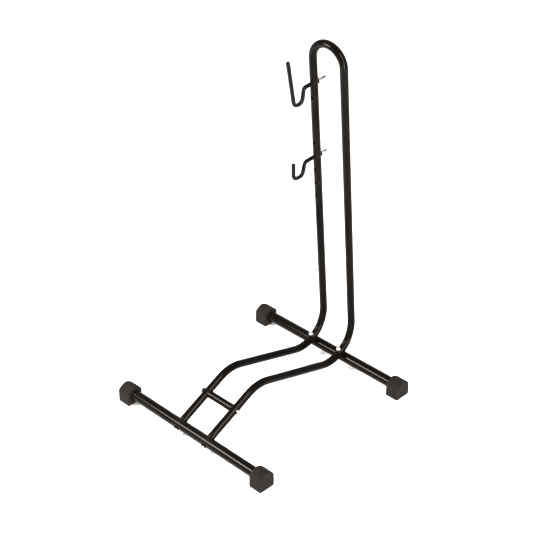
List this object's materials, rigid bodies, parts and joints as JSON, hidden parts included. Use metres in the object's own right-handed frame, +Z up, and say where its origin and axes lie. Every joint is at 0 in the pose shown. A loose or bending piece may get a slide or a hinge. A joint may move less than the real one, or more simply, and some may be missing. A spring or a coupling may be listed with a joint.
{
  "type": "bicycle floor stand",
  "caption": "Bent round-tube bicycle stand on two cross tubes with rubber block feet, and two adjustable coated hooks that hold the bicycle's frame stays.",
  "frame": {"origin": "on the floor, under the middle of the bounding box", "axes": "+X along the cross tubes to the stand's right seen from the front, +Y from the front tube to the rear tube, +Z up"},
  "size_m": [0.405, 0.4407, 0.7307],
  "materials": {
    "black_powder_coat": "gloss black powder coat on steel tube",
    "black_rubber": "matt moulded rubber",
    "bright_zinc": "bright zinc plate",
    "black_vinyl": "shiny dipped vinyl"
  },
  "bodies": {
    "stand": {"brace_bolt": "bright_zinc", "brace_nut": "bright_zinc", "brace_tube": "black_powder_coat", "brace_washer_left": "black_powder_coat", "brace_washer_right": "black_powder_coat", "foot_front_left": "black_rubber", "foot_front_right": "black_rubber", "foot_rear_left": "black_rubber", "foot_rear_right": "black_rubber", "front_bolt_left": "bright_zinc", "front_bolt_right": "bright_zinc", "front_bolt_washer_left": "black_powder_coat", "front_bolt_washer_right": "black_powder_coat", "front_cross_tube": "black_powder_coat", "leg_end_plug_left": "bright_zinc", "leg_end_plug_right": "bright_zinc", "main_frame_tube": "black_powder_coat", "rear_bolt_left": "bright_zinc", "rear_bolt_right": "bright_zinc", "rear_bolt_washer_left": "black_powder_coat", "rear_bolt_washer_right": "black_powder_coat", "rear_cross_tube": "black_powder_coat", "rear_nut_left": "bright_zinc", "rear_nut_right": "bright_zinc", "rear_nut_washer_left": "black_powder_coat", "rear_nut_washer_right": "black_powder_coat"},
    "upper_hook": {"upper_hook_rod": "bright_zinc", "upper_hook_sleeve": "black_vinyl"},
    "upper_washer": {"upper_hook_washer": "black_powder_coat"},
    "upper_wing_nut": {"upper_wing_nut": "bright_zinc"},
    "lower_hook": {"lower_hook_rod": "bright_zinc", "lower_hook_sleeve": "black_vinyl"},
    "lower_washer": {"lower_hook_washer": "black_powder_coat"},
    "lower_wing_nut": {"lower_wing_nut": "bright_zinc"}
  },
  "joints": [
    {"name": "upper_hook_swivel", "type": "hinge", "parent": "stand", "child": "upper_hook", "pos_m": [-0.039, 0.17063, 0.631], "axis": [0, 0.9969, 0.0785], "continuous": true},
    {"name": "upper_washer_slide", "type": "slide", "parent": "upper_hook", "child": "upper_washer", "axis": [0, 0.9969, 0.0785], "range_m": [0, 0.012]},
    {"name": "upper_wing_nut_turn", "type": "hinge", "parent": "upper_washer", "child": "upper_wing_nut", "pos_m": [-0.039, 0.1804, 0.63177], "axis": [0, 0.9969, 0.0785], "range_deg": [0, 4320]},
    {"name": "lower_hook_swivel", "type": "hinge", "parent": "stand", "child": "lower_hook", "pos_m": [-0.039, 0.18322, 0.471], "axis": [0, 0.9969, 0.0785], "continuous": true},
    {"name": "lower_washer_slide", "type": "slide", "parent": "lower_hook", "child": "lower_washer", "axis": [0, 0.9969, 0.0785], "range_m": [0, 0.012]},
    {"name": "lower_wing_nut_turn", "type": "hinge", "parent": "lower_washer", "child": "lower_wing_nut", "pos_m": [-0.039, 0.19299, 0.47177], "axis": [0, 0.9969, 0.0785], "range_deg": [0, 4320]}
  ],
  "couplings": [
    {"joint": "upper_wing_nut_turn", "follows": "upper_washer_slide", "rad_per_m": 6283.2},
    {"joint": "lower_wing_nut_turn", "follows": "lower_washer_slide", "rad_per_m": 6283.2}
  ]
}
